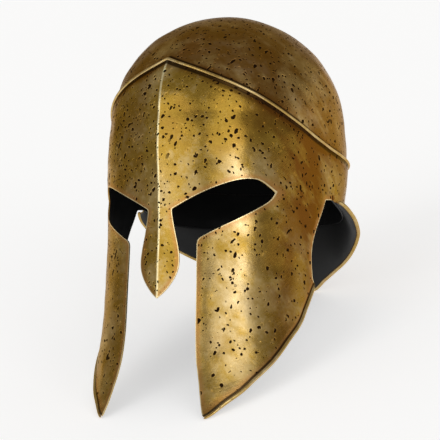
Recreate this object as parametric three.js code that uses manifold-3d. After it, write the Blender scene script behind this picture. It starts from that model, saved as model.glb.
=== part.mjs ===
// Corinthian helmet of sheet bronze, in millimetres, with +Z up.
// The pieces are drawn as worn: the face looks along -Y, the wearer's left is +X, and
// height 0 is at the cheek tips. Then all of them lean back together until the helmet
// rests on its two cheek tips and the rear of its neck guard, with the floor at z = 0.
import * as THREE from 'three';
import { mergeVertices } from 'three/addons/utils/BufferGeometryUtils.js';
import Module from 'manifold-3d';

const wasm = await Module();
wasm.setup();

// Driving sizes
const HEIGHT = 386;
const HALF_WIDTH = 104;
const FRONT_REACH = 131;
const BACK_REACH = 119;
const AXIS_BACK = -8;
const SPRING = 277;
const RIDGE_HEIGHT = 3.5;
const RIDGE_SPREAD = 16;
const SHEET = 1.3;
const LAP = 13;
const LAP_GAP = 0.7;
const GUARD_LAP = 5;
const GUARD_GAP = 0.5;
const GAP = 0.4;
const BROW_BEAD_RADIUS = 1.7;
const CHEEK_BEAD_RADIUS = 2.4;
const NECK_BEAD_RADIUS = 2.6;
const FLOOR_FLAT = 0.6;

// Number of facets
const COLUMNS = 72;
const SHELL_ROWS = 22;
const CROWN_ROWS = 10;
const GUARD_COLUMNS = 40;
const GUARD_ROWS = 7;

// Plan of the helmet at each height: shares of the height and of the three reaches
// square is the power of the oval, and nape draws the rear half in
const PLAN = [
  { up: 0, wide: 1.125, front: 1.206, back: 1, square: 2.4, nape: 0.1 },
  { up: 0.052, wide: 1.115, front: 1.137, back: 1, square: 2.4, nape: 0.1 },
  { up: 0.13, wide: 1.087, front: 1.069, back: 1, square: 2.4, nape: 0.1 },
  { up: 0.207, wide: 1.048, front: 1.038, back: 1, square: 2.4, nape: 0.1 },
  { up: 0.29, wide: 1.019, front: 1.023, back: 1, square: 2.4, nape: 0.1 },
  { up: 0.337, wide: 1.01, front: 1.015, back: 1, square: 2.4, nape: 0.1 },
  { up: 0.44, wide: 1, front: 1, back: 1, square: 2.4, nape: 0.1 },
  { up: 0.492, wide: 1, front: 1, back: 1, square: 2.4, nape: 0.08 },
  { up: 0.541, wide: 1, front: 1.004, back: 1, square: 2.4, nape: 0.055 },
  { up: 0.583, wide: 1, front: 1.011, back: 1, square: 2.4, nape: 0.03 },
  { up: 0.63, wide: 1, front: 1.019, back: 1, square: 2.35, nape: 0.008 },
  { up: 0.674, wide: 0.998, front: 1.014, back: 1, square: 2.3, nape: 0 },
  { up: 0.718, wide: 0.99, front: 1, back: 0.996, square: 2.25, nape: 0 },
];

// Upper edge of the face shell, round from the brow to the back
const RIM = [
  { turn: 0, up: 0.8446 },
  { turn: 5, up: 0.8335 },
  { turn: 13.7, up: 0.815 },
  { turn: 24.5, up: 0.79 },
  { turn: 32.5, up: 0.771 },
  { turn: 40.9, up: 0.75 },
  { turn: 49.3, up: 0.7275 },
  { turn: 61.6, up: 0.6975 },
  { turn: 76.6, up: 0.667 },
  { turn: 95.5, up: 0.645 },
  { turn: 120, up: 0.63 },
  { turn: 150, up: 0.619 },
  { turn: 180, up: 0.616 },
];

// Half of the face opening, seen from the front: out as a share of the half width
const FACE_OPENING = [
  { out: 0.0, up: 0.284 },
  { out: 0.05, up: 0.2945 },
  { out: 0.107, up: 0.311 },
  { out: 0.157, up: 0.331 },
  { out: 0.188, up: 0.3525 },
  { out: 0.194, up: 0.3755 },
  { out: 0.181, up: 0.4015 },
  { out: 0.157, up: 0.43 },
  { out: 0.135, up: 0.4585 },
  { out: 0.12, up: 0.482 },
  { out: 0.12, up: 0.491 },
  { out: 0.25, up: 0.5095 },
  { out: 0.385, up: 0.527 },
  { out: 0.52, up: 0.543 },
  { out: 0.635, up: 0.5545 },
  { out: 0.72, up: 0.559 },
  { out: 0.79, up: 0.5545 },
  { out: 0.862, up: 0.531 },
  { out: 0.83, up: 0.5095 },
  { out: 0.76, up: 0.489 },
  { out: 0.655, up: 0.4675 },
  { out: 0.54, up: 0.449 },
  { out: 0.435, up: 0.433 },
  { out: 0.362, up: 0.4215 },
  { out: 0.342, up: 0.411 },
  { out: 0.344, up: 0.363 },
  { out: 0.348, up: 0.319 },
  { out: 0.352, up: 0.246 },
  { out: 0.356, up: 0.206 },
  { out: 0.375, up: 0.1455 },
  { out: 0.421, up: 0.09 },
  { out: 0.4615, up: 0.0466 },
  { out: 0.51, up: 0.005 },
  { out: 0.575, up: -0.06 },
];

// Rear-lower edge of a cheek, from the tip up: behind as a share of the front reach
const CHEEK_EDGE = [
  { behind: -1.14, up: 0 },
  { behind: -1.0835, up: 0.0139 },
  { behind: -0.9995, up: 0.0419 },
  { behind: -0.9104, up: 0.0676 },
  { behind: -0.8217, up: 0.0962 },
  { behind: -0.7128, up: 0.1288 },
  { behind: -0.6363, up: 0.154 },
  { behind: -0.551, up: 0.1838 },
  { behind: -0.4271, up: 0.2242 },
  { behind: -0.3394, up: 0.2655 },
  { behind: -0.24, up: 0.312 },
];

// Edge of the ear cut-out, then the lower edge of the back band under the neck guard
const EAR_EDGE = [
  { behind: -0.231, up: 0.317 },
  { behind: -0.2631, up: 0.3319 },
  { behind: -0.2699, up: 0.3483 },
  { behind: -0.2726, up: 0.3719 },
  { behind: -0.2666, up: 0.398 },
  { behind: -0.2446, up: 0.4246 },
  { behind: -0.2106, up: 0.4492 },
  { behind: -0.1665, up: 0.4742 },
  { behind: -0.115, up: 0.5 },
  { behind: -0.069, up: 0.5265 },
  { behind: 0, up: 0.5285 },
  { behind: 0.038, up: 0.5285 },
  { behind: 0.122, up: 0.518 },
  { behind: 0.351, up: 0.4974 },
  { behind: 0.58, up: 0.492 },
  { behind: 1.2, up: 0.492 },
];

// Free edge of the neck guard, round from the ear to the back
const GUARD_EDGE = [
  { turn: 91, reach: 1.043, up: 0.529 },
  { turn: 95, reach: 1.101, up: 0.518 },
  { turn: 100, reach: 1.139, up: 0.5 },
  { turn: 106, reach: 1.16, up: 0.4805 },
  { turn: 112, reach: 1.168, up: 0.4585 },
  { turn: 120, reach: 1.154, up: 0.438 },
  { turn: 130, reach: 1.1375, up: 0.413 },
  { turn: 140, reach: 1.133, up: 0.391 },
  { turn: 150, reach: 1.142, up: 0.372 },
  { turn: 160, reach: 1.168, up: 0.35 },
  { turn: 170, reach: 1.22, up: 0.3264 },
  { turn: 180, reach: 1.24, up: 0.329 },
];

// Value of one column of a table, read along another on a smooth line through its rows
function look(table, along, at, column) {
  const last = table.length - 1;
  if (at <= table[0][along]) return table[0][column];
  if (at >= table[last][along]) return table[last][column];
  let i = 0;
  while (table[i + 1][along] < at) i += 1;
  const rise = (k) => {
    const span = table[k + 1][along] - table[k][along];
    return (table[k + 1][column] - table[k][column]) / span;
  };
  const slope = (k) => {
    if (k === 0) return rise(0);
    if (k === last) return rise(last - 1);
    const before = rise(k - 1);
    const after = rise(k);
    return before * after > 0 ? (2 * before * after) / (before + after) : 0;
  };
  const span = table[i + 1][along] - table[i][along];
  const t = (at - table[i][along]) / span;
  const start = table[i][column] * (1 + 2 * t) * (1 - t) ** 2;
  const end = table[i + 1][column] * t * t * (3 - 2 * t);
  return start + end + span * (slope(i) * t * (1 - t) ** 2 - slope(i + 1) * t * t * (1 - t));
}

function ease(value) {
  const part = Math.min(Math.max(value, 0), 1);
  return part * part * (3 - 2 * part);
}

// Point of the helmet's form at a turn from straight ahead and a height, set in by inset
function form(turn, height, inset) {
  const up = Math.min(height, SPRING) / HEIGHT;
  const ahead = -Math.cos(turn);
  const aside = Math.sin(turn);
  const wide = HALF_WIDTH * look(PLAN, 'up', up, 'wide');
  const front = FRONT_REACH * look(PLAN, 'up', up, 'front');
  const back = BACK_REACH * look(PLAN, 'up', up, 'back');
  const square = look(PLAN, 'up', up, 'square');
  const long = ahead < 0 ? front : back;
  const sum = (Math.abs(aside) / wide) ** square + (Math.abs(ahead) / long) ** square;
  const fromFront = Math.acos(Math.min(Math.max(-ahead, -1), 1));
  const rear = ease((fromFront - Math.PI / 2) / THREE.MathUtils.degToRad(50));
  const drawn = 1 - look(PLAN, 'up', up, 'nape') * rear;
  const rise = Math.max((height - SPRING) / (HEIGHT - SPRING), 0);
  const shrink = Math.sqrt(Math.max(1 - rise * rise, 0));
  const radius = (sum ** (-1 / square) * drawn - inset) * shrink;
  const x = radius * aside;
  const fade = Math.min(Math.max((HEIGHT - height) / 60, 0), 1);
  const ridge = ahead < 0 ? RIDGE_HEIGHT * fade * Math.exp(-Math.abs(x) / RIDGE_SPREAD) : 0;
  const z = rise > 0 ? SPRING + (HEIGHT - inset - SPRING) * rise : height;
  return new THREE.Vector3(x, AXIS_BACK + radius * ahead - ridge, z);
}

// Turn, on the wearer's left, at which the form reaches a given y at a height
function turnAt(y, height) {
  let low = 0;
  let high = Math.PI;
  for (let i = 0; i < 40; i += 1) {
    const middle = (low + high) / 2;
    if (form(middle, height, 0).y < y) low = middle;
    else high = middle;
  }
  return (low + high) / 2;
}

function normalAt(turn, height) {
  const step = 0.01;
  const across = form(turn + step, height, 0).sub(form(turn - step, height, 0));
  const upward = form(turn, height + 1, 0).sub(form(turn, height - 1, 0));
  return across.cross(upward).normalize();
}

// Closed sheet from two grids of points: side 0 is its outer face and side 1 its inner
function sheet(point, across, along, wrap) {
  const rows = along + 1;
  const columns = wrap ? across : across + 1;
  const positions = [];
  for (let side = 0; side < 2; side += 1) {
    for (let i = 0; i < columns; i += 1) {
      for (let j = 0; j < rows; j += 1) positions.push(...point(i, j, side).toArray());
    }
  }
  const id = (side, i, j) => (side * columns + (i % columns)) * rows + j;
  const index = [];
  const quad = (a, b, c, d) => index.push(a, b, c, a, c, d);
  for (let i = 0; i < across; i += 1) {
    for (let j = 0; j < along; j += 1) {
      quad(id(0, i, j), id(0, i, j + 1), id(0, i + 1, j + 1), id(0, i + 1, j));
      quad(id(1, i, j), id(1, i + 1, j), id(1, i + 1, j + 1), id(1, i, j + 1));
    }
    quad(id(0, i, 0), id(0, i + 1, 0), id(1, i + 1, 0), id(1, i, 0));
    quad(id(0, i, along), id(1, i, along), id(1, i + 1, along), id(0, i + 1, along));
  }
  for (let j = 0; j < along && !wrap; j += 1) {
    quad(id(0, 0, j), id(1, 0, j), id(1, 0, j + 1), id(0, 0, j + 1));
    quad(id(0, across, j), id(0, across, j + 1), id(1, across, j + 1), id(1, across, j));
  }
  const geometry = new THREE.BufferGeometry();
  geometry.setAttribute('position', new THREE.Float32BufferAttribute(positions, 3));
  geometry.setIndex(index);
  return geometry;
}

// Solid of a closed geometry, turned the right way out
function solid(geometry) {
  const bare = geometry.clone();
  bare.deleteAttribute('normal');
  bare.deleteAttribute('uv');
  const merged = mergeVertices(bare, 1e-4);
  const spots = merged.getAttribute('position').array;
  const old = merged.getIndex().array;
  const kept = [];
  let volume = 0;
  const corner = (k) => new THREE.Vector3().fromArray(spots, 3 * k);
  for (let i = 0; i < old.length; i += 3) {
    const [a, b, c] = [old[i], old[i + 1], old[i + 2]];
    if (a === b || b === c || c === a) continue;
    kept.push(a, b, c);
    volume += corner(a).dot(corner(b).cross(corner(c)));
  }
  if (volume < 0) {
    for (let i = 0; i < kept.length; i += 3) [kept[i], kept[i + 1]] = [kept[i + 1], kept[i]];
  }
  const mesh = new wasm.Mesh({
    numProp: 3,
    vertProperties: new Float32Array(spots),
    triVerts: new Uint32Array(kept),
  });
  return new wasm.Manifold(mesh);
}

function geometryOf(body) {
  const mesh = body.getMesh();
  const geometry = new THREE.BufferGeometry();
  geometry.setAttribute('position', new THREE.BufferAttribute(mesh.vertProperties, 3));
  geometry.setIndex(new THREE.BufferAttribute(mesh.triVerts, 1));
  geometry.computeVertexNormals();
  return geometry;
}

// Round wire along a path
function wire(points, radius, sides, steps) {
  const section = new THREE.Shape();
  for (let k = 0; k < sides; k += 1) {
    const angle = (2 * Math.PI * (k + 0.5)) / sides;
    const spot = [radius * Math.cos(angle), radius * Math.sin(angle)];
    if (k === 0) section.moveTo(...spot);
    else section.lineTo(...spot);
  }
  section.closePath();
  const path = new THREE.CatmullRomCurve3(points);
  return new THREE.ExtrudeGeometry(section, {
    steps,
    bevelEnabled: false,
    extrudePath: path,
    curveSegments: 1,
  });
}

function rimHeight(turn) {
  const from = Math.abs(Math.atan2(Math.sin(turn), Math.cos(turn)));
  return HEIGHT * look(RIM, 'turn', THREE.MathUtils.radToDeg(from), 'up');
}

// Turn of each column, closer together over the face
function columnTurn(i) {
  const even = (2 * Math.PI * i) / COLUMNS - Math.PI;
  return even - 0.3 * Math.sin(even);
}

// Face shell before its openings are cut
const shellBlank = sheet(
  (i, j, side) => {
    const turn = columnTurn(i);
    const top = rimHeight(turn);
    const height = top - ((top + 12) * j) / SHELL_ROWS;
    return form(turn, height, side * SHEET);
  },
  COLUMNS,
  SHELL_ROWS,
  true,
);

// Outline seen from the front, as a cutter that runs through the face only
const faceShape = new THREE.Shape();
const rightHalf = FACE_OPENING.map((row) => [row.out * HALF_WIDTH, row.up * HEIGHT]);
const leftHalf = rightHalf.slice(1).reverse();
faceShape.moveTo(...rightHalf[0]);
for (const [x, z] of rightHalf.slice(1)) faceShape.lineTo(x, z);
for (const [x, z] of leftHalf) faceShape.lineTo(-x, z);
faceShape.closePath();
const faceCutter = new THREE.ExtrudeGeometry(faceShape, { depth: 240, bevelEnabled: false });
faceCutter.rotateX(Math.PI / 2);
faceCutter.translate(0, AXIS_BACK - 0.15 * FRONT_REACH, 0);

// Line of the cheek's rim, and the lines of its wire and of the sheet's edge beside it
const cheekRim = new THREE.SplineCurve(
  CHEEK_EDGE.map((row) => {
    return new THREE.Vector2(AXIS_BACK + row.behind * FRONT_REACH, row.up * HEIGHT);
  }),
).getSpacedPoints(26);
const cheekSpots = cheekRim.map((spot) => {
  const turn = turnAt(spot.x, spot.y);
  return { on: form(turn, spot.y, 0), normal: normalAt(turn, spot.y) };
});
const cheekLines = cheekSpots.map((spot, i) => {
  const before = cheekSpots[Math.max(i - 1, 0)].on;
  const after = cheekSpots[Math.min(i + 1, cheekSpots.length - 1)].on;
  const along = after.clone().sub(before).normalize();
  const inward = along.clone().cross(spot.normal).normalize();
  if (inward.z - inward.y < 0) inward.negate();
  const wireSpot = spot.on.clone().addScaledVector(inward, CHEEK_BEAD_RADIUS);
  wireSpot.addScaledVector(spot.normal, -0.2 * SHEET);
  const edgeSpot = spot.on.clone().addScaledVector(inward, 2 * CHEEK_BEAD_RADIUS + GAP);
  return { wireSpot, edgeSpot, along };
});

// Outline seen from the side, as a cutter for the ears and everything behind the cheeks
const sideShape = new THREE.Shape();
const firstEdge = cheekLines[0].edgeSpot;
const lastLine = cheekLines[cheekLines.length - 1];
const butt = lastLine.edgeSpot.clone().addScaledVector(lastLine.along, GAP);
sideShape.moveTo(firstEdge.y - 8, firstEdge.z - 8);
for (const line of cheekLines) sideShape.lineTo(line.edgeSpot.y, line.edgeSpot.z);
sideShape.lineTo(butt.y, butt.z);
for (const row of EAR_EDGE) {
  sideShape.lineTo(AXIS_BACK + row.behind * FRONT_REACH, row.up * HEIGHT);
}
sideShape.lineTo(AXIS_BACK + 1.2 * FRONT_REACH, -0.1 * HEIGHT);
sideShape.lineTo(firstEdge.y - 8, -0.1 * HEIGHT);
sideShape.closePath();
const sideCutter = new THREE.ExtrudeGeometry(sideShape, {
  depth: 3 * HALF_WIDTH,
  bevelEnabled: false,
});
sideCutter.rotateX(Math.PI / 2);
sideCutter.rotateZ(Math.PI / 2);
sideCutter.translate(-1.5 * HALF_WIDTH, 0, 0);

const faceShell = solid(shellBlank).subtract(solid(faceCutter)).subtract(solid(sideCutter));

// Crown, from its lapped lower edge up to the top
const crownInset = SHEET + LAP_GAP;
const crown = solid(
  sheet(
    (i, j, side) => {
      const turn = columnTurn(i);
      const low = (rimHeight(turn) - LAP - SPRING) / (HEIGHT - SPRING);
      const start = low > 0 ? Math.asin(low) : low;
      const step = start + ((Math.PI / 2 - start) * j) / CROWN_ROWS;
      const rise = step > 0 ? Math.sin(step) : step;
      const height = SPRING + (HEIGHT - SPRING) * Math.min(rise, 1);
      return form(turn, height, crownInset + side * SHEET);
    },
    COLUMNS,
    CROWN_ROWS,
    true,
  ),
);

// Bead along the top edge of the face shell, open at the back by a hair
const browSpots = [];
for (let i = 0; i <= 120; i += 1) {
  const turn = (i / 120) * (2 * Math.PI - 0.006) - Math.PI + 0.003;
  const height = rimHeight(turn);
  const lift = BROW_BEAD_RADIUS + GAP;
  const slope = (rimHeight(turn + 0.02) - rimHeight(turn - 0.02)) / (0.04 * FRONT_REACH);
  const spot = form(turn, height + lift * Math.hypot(1, slope), 0);
  spot.addScaledVector(normalAt(turn, height), 0.1);
  browSpots.push(spot);
}
const browBead = solid(wire(browSpots, BROW_BEAD_RADIUS, 6, 96));

// Wires of the two cheek rims
const leftWire = wire(
  cheekLines.map((line) => line.wireSpot),
  CHEEK_BEAD_RADIUS,
  8,
  26,
);
const rightWire = leftWire.clone().scale(-1, 1, 1);

// Section of the neck guard at a turn: lap, crease and flare, by share from its top
function guardLine(turn) {
  const degrees = THREE.MathUtils.radToDeg(turn);
  const behind = form(turn, 0.5 * HEIGHT, 0).y;
  const crease = HEIGHT * look(EAR_EDGE.slice(10), 'behind', (behind - AXIS_BACK) / FRONT_REACH, 'up');
  const hold = form(turn, crease, -GUARD_GAP - SHEET);
  const top = form(turn, crease + GUARD_LAP, -GUARD_GAP - SHEET);
  const reach = HALF_WIDTH * look(GUARD_EDGE, 'turn', degrees, 'reach');
  const edge = new THREE.Vector3(
    reach * Math.sin(turn),
    AXIS_BACK - reach * Math.cos(turn),
    HEIGHT * look(GUARD_EDGE, 'turn', degrees, 'up'),
  );
  const drop = hold.z - edge.z;
  const bend = hold.clone().lerp(edge, 0.25);
  bend.z = hold.z - 0.62 * Math.max(drop, 0);
  const out = edge.clone().sub(bend).normalize();
  return { top, hold, bend, edge, out };
}

function guardPoint(turn, share, inward) {
  const line = guardLine(turn);
  const end = line.edge.clone().addScaledVector(line.out, -2 * NECK_BEAD_RADIUS - 2 * GAP);
  const curve = new THREE.QuadraticBezierCurve3(line.hold, line.bend, end);
  const flare = Math.max((share - 0.2) / 0.8, 0);
  const spot = share < 0.2 ? line.top.clone().lerp(line.hold, share / 0.2) : curve.getPoint(flare);
  const along = share < 0.2 ? line.hold.clone().sub(line.top) : curve.getTangent(flare);
  const radial = new THREE.Vector3(Math.sin(turn), -Math.cos(turn), 0);
  const sideways = new THREE.Vector3(0, 0, 1).cross(radial);
  const normal = sideways.cross(along).normalize();
  if (normal.dot(radial) < 0 || normal.z < -0.5) normal.negate();
  return spot.addScaledVector(normal, -inward);
}

const guardStart = THREE.MathUtils.degToRad(93);
const guardTurn = (share) => guardStart + (2 * Math.PI - 2 * guardStart) * share;
const mirrored = (turn, make) => {
  if (turn <= Math.PI) return make(turn);
  const spot = make(2 * Math.PI - turn);
  return spot.setX(-spot.x);
};
const neckGuard = solid(
  sheet(
    (i, j, side) => {
      const turn = guardTurn(i / GUARD_COLUMNS);
      return mirrored(turn, (at) => guardPoint(at, j / GUARD_ROWS, side * SHEET));
    },
    GUARD_COLUMNS,
    GUARD_ROWS,
    false,
  ),
);
const neckSpots = [];
for (let i = 0; i <= GUARD_COLUMNS; i += 1) {
  const spot = mirrored(guardTurn(i / GUARD_COLUMNS), (at) => {
    const line = guardLine(at);
    return line.edge.clone().addScaledVector(line.out, -NECK_BEAD_RADIUS);
  });
  neckSpots.push(spot);
}
const neckBead = solid(wire(neckSpots, NECK_BEAD_RADIUS, 8, GUARD_COLUMNS));

// Lean back at which the cheek tips and the rear of the neck rim stand level
function lowest(body, lean) {
  const spots = body.getMesh().vertProperties;
  let low = Infinity;
  for (let i = 0; i < spots.length; i += 3) {
    low = Math.min(low, spots[i + 2] * Math.cos(lean) - spots[i + 1] * Math.sin(lean));
  }
  return low;
}
const cheekWire = solid(leftWire).subtract(solid(faceCutter));
let lean = 0;
let most = Math.PI / 4;
for (let i = 0; i < 40; i += 1) {
  const middle = (lean + most) / 2;
  const tip = Math.min(lowest(cheekWire, middle), lowest(faceShell, middle));
  if (lowest(neckBead, middle) > tip) lean = middle;
  else most = middle;
}
const floor = Math.min(lowest(cheekWire, lean), lowest(faceShell, lean)) + FLOOR_FLAT;

// The middle of its length, once leaned, stands over the origin
const ends = [Infinity, -Infinity];
for (const body of [crown, faceShell, neckGuard, neckBead, browBead, cheekWire]) {
  const spots = body.getMesh().vertProperties;
  for (let i = 0; i < spots.length; i += 3) {
    const y = spots[i + 1] * Math.cos(lean) + spots[i + 2] * Math.sin(lean);
    ends[0] = Math.min(ends[0], y);
    ends[1] = Math.max(ends[1], y);
  }
}
const rest = new THREE.Matrix4().makeTranslation(0, -(ends[0] + ends[1]) / 2, -floor);
rest.multiply(new THREE.Matrix4().makeRotationX(-lean));
const under = new THREE.BoxGeometry(800, 1200, 60).translate(0, 0, -30);

function rested(body) {
  const turned = geometryOf(body).applyMatrix4(rest);
  turned.deleteAttribute('normal');
  return geometryOf(solid(turned).subtract(solid(under)));
}

// Pieces with their metal
const helmet = new THREE.Group();
const metals = {
  skin: { color: 0xa8824a, roughness: 0.34, metalness: 1 },
  dome: { color: 0x8a6a3c, roughness: 0.38, metalness: 1 },
  rim: { color: 0xb98a4c, roughness: 0.3, metalness: 1 },
};
function add(name, body, metal) {
  const material = new THREE.MeshStandardMaterial({ ...metals[metal], flatShading: true });
  const mesh = new THREE.Mesh(rested(body), material);
  mesh.name = name;
  helmet.add(mesh);
}
add('crown', crown, 'dome');
add('face_shell', faceShell, 'skin');
add('neck_guard', neckGuard, 'skin');
add('brow_bead', browBead, 'rim');
add('cheek_bead_left', cheekWire, 'rim');
add('cheek_bead_right', solid(rightWire).subtract(solid(faceCutter)), 'rim');
add('neck_bead', neckBead, 'rim');

export default helmet;
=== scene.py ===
"""Aged bronze Corinthian helmet at rest on a pale floor, drawn over its CAD frame."""

import math

import bpy
import numpy as np
from bpy.props import FloatProperty, FloatVectorProperty, IntProperty, PointerProperty
from mathutils import Matrix, Vector


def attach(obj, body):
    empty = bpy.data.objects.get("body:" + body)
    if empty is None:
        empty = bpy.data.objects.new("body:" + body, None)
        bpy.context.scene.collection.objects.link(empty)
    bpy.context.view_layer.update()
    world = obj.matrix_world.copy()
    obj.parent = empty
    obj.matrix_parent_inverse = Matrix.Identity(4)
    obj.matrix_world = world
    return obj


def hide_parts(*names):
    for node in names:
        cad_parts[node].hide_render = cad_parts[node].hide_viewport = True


bl_info = {
    "name": "Corinthian helmet",
    "version": (1, 0, 0),
    "blender": (4, 5, 0),
    "location": "View3D > Sidebar > Helmet",
    "description": "Fine surfaces, aged bronze and a studio for a Corinthian helmet",
    "category": "Object",
}

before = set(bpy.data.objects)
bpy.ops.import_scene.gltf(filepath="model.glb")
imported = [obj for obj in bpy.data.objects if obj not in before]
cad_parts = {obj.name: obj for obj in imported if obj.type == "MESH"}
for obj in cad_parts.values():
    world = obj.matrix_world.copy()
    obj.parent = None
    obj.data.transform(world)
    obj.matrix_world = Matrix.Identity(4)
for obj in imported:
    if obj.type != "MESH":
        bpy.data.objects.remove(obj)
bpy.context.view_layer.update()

# Sizes as worn, in millimetres
HEIGHT = 386.0
HALF_WIDTH = 104.0
FRONT_REACH = 131.0
BACK_REACH = 119.0
AXIS_BACK = -8.0
SPRING = 277.0
RIDGE_HEIGHT = 3.5
RIDGE_SPREAD = 16.0
SHEET = 1.3
LAP = 13.0
LAP_GAP = 0.7
GUARD_LAP = 5.0
GUARD_GAP = 0.5
GAP = 0.4
BROW_BEAD = 1.7
CHEEK_BEAD = 2.4
NECK_BEAD = 2.6

# Wires as shown, a little thinner than the beads of the CAD, and how far a cheek's wire tapers
BROW_WIRE = 0.88 * BROW_BEAD
CHEEK_WIRE = 0.8 * CHEEK_BEAD
NECK_WIRE = 0.68 * NECK_BEAD
CHEEK_TAPER = 30.0

# The neck guard's first turn, the bend past which an edge shows, and a distance past every line
GUARD_START = math.radians(93)
SHARP = math.radians(38)
FAR = 99.0

# Lean back from worn to resting, and the shifts that stand it on the floor
LEAN = math.radians(24.5625)
FLOOR = 65.88
MIDDLE = 40.585

# Columns: up, wide, front, back, square, nape
PLAN = np.array([
    (0, 1.125, 1.206, 1, 2.4, 0.1),
    (0.052, 1.115, 1.137, 1, 2.4, 0.1),
    (0.13, 1.087, 1.069, 1, 2.4, 0.1),
    (0.207, 1.048, 1.038, 1, 2.4, 0.1),
    (0.29, 1.019, 1.023, 1, 2.4, 0.1),
    (0.337, 1.01, 1.015, 1, 2.4, 0.1),
    (0.44, 1, 1, 1, 2.4, 0.1),
    (0.492, 1, 1, 1, 2.4, 0.08),
    (0.541, 1, 1.004, 1, 2.4, 0.055),
    (0.583, 1, 1.011, 1, 2.4, 0.03),
    (0.63, 1, 1.019, 1, 2.35, 0.008),
    (0.674, 0.998, 1.014, 1, 2.3, 0),
    (0.718, 0.99, 1, 0.996, 2.25, 0),
])

# Columns: turn in degrees, up
RIM = np.array([
    (0, 0.8446), (5, 0.8335), (13.7, 0.815), (24.5, 0.79), (32.5, 0.771), (40.9, 0.75),
    (49.3, 0.7275), (61.6, 0.6975), (76.6, 0.667), (95.5, 0.645), (120, 0.63),
    (150, 0.619), (180, 0.616),
])

# Runs of the face opening between its corners. Columns: out, up
NASAL_SIDE = [
    (0, 0.284), (0.05, 0.2945), (0.107, 0.311), (0.157, 0.331), (0.188, 0.3525),
    (0.194, 0.3755), (0.181, 0.4015), (0.157, 0.43), (0.135, 0.4585), (0.122, 0.48),
    (0.12, 0.491),
]
EYE_TOP = [
    (0.12, 0.491), (0.25, 0.5095), (0.385, 0.527), (0.52, 0.543), (0.635, 0.5545),
    (0.72, 0.559), (0.79, 0.5545), (0.862, 0.531),
]
EYE_BOTTOM = [
    (0.862, 0.531), (0.83, 0.5095), (0.76, 0.489), (0.655, 0.4675), (0.54, 0.449),
    (0.435, 0.433), (0.362, 0.4215), (0.342, 0.411),
]
CHEEK_FRONT = [
    (0.342, 0.411), (0.344, 0.363), (0.348, 0.319), (0.352, 0.246), (0.356, 0.206),
    (0.375, 0.1455), (0.421, 0.09), (0.4615, 0.0466), (0.51, 0.005), (0.575, -0.06),
]

# Columns: behind, up
CHEEK_EDGE = [
    (-1.14, 0), (-1.0835, 0.0139), (-0.9995, 0.0419), (-0.9104, 0.0676),
    (-0.8217, 0.0962), (-0.7128, 0.1288), (-0.6363, 0.154), (-0.551, 0.1838),
    (-0.4271, 0.2242), (-0.3394, 0.2655), (-0.24, 0.312),
]
EAR_EDGE = [
    (-0.231, 0.317), (-0.2631, 0.3319), (-0.2699, 0.3483), (-0.2726, 0.3719),
    (-0.2666, 0.398), (-0.2446, 0.4246), (-0.2106, 0.4492), (-0.1665, 0.4742),
    (-0.115, 0.5), (-0.069, 0.5265),
]
BACK_EDGE = np.array([
    (0.0, 0.5285), (0.038, 0.5285), (0.122, 0.518), (0.351, 0.4974), (0.58, 0.492),
    (1.2, 0.492),
])

# Columns: turn in degrees, reach, up
GUARD_EDGE = np.array([
    (91, 1.043, 0.529), (95, 1.101, 0.518), (100, 1.139, 0.5), (106, 1.16, 0.4805),
    (112, 1.168, 0.4585), (120, 1.154, 0.438), (130, 1.1375, 0.413), (140, 1.133, 0.391),
    (150, 1.142, 0.372), (160, 1.168, 0.35), (170, 1.22, 0.3264), (180, 1.24, 0.329),
])

# Columns: lamp, degrees round from the face toward the left, degrees up, breadth, brightness
LAMPS = (
    ("key", 50, 26, 48, 1.15),
    ("strip", 61, 17, 16, 1.75),
    ("fill", -16, 32, 40, 1.12),
    ("spark", -22, 22, 12, 1.3),
)

# Camera in metres, and how many pixels a metre and the whole picture take
CAMERA_AWAY = 1.7
CAMERA_ASIDE = -0.01635
CAMERA_UP = 0.01442
PIXELS_A_METRE = 1040
PIXELS_ACROSS = 440


# Form of the helmet
def read(table, at, column):
    """Table column read along the first on a cubic through its rows, whose slope at a row
    is the harmonic mean of the slopes beside it, or 0 at a peak."""
    x, y = table[:, 0], table[:, column]
    rise = np.diff(y) / np.diff(x)
    both = rise[:-1] * rise[1:]
    total = rise[:-1] + rise[1:]
    inner = np.where(both > 0, 2 * both / np.where(both > 0, total, 1), 0)
    slope = np.concatenate([rise[:1], inner, rise[-1:]])
    at = np.clip(at, x[0], x[-1])
    i = np.clip(np.searchsorted(x, at) - 1, 0, len(x) - 2)
    span = x[i + 1] - x[i]
    t = (at - x[i]) / span
    ends = y[i] * (1 + 2 * t) * (1 - t) ** 2 + y[i + 1] * t * t * (3 - 2 * t)
    return ends + span * (slope[i] * t * (1 - t) ** 2 - slope[i + 1] * t * t * (1 - t))


def ease(value):
    """0 below 0, 1 above 1, and 3 squares less 2 cubes between."""
    part = np.clip(value, 0, 1)
    return part * part * (3 - 2 * part)


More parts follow.
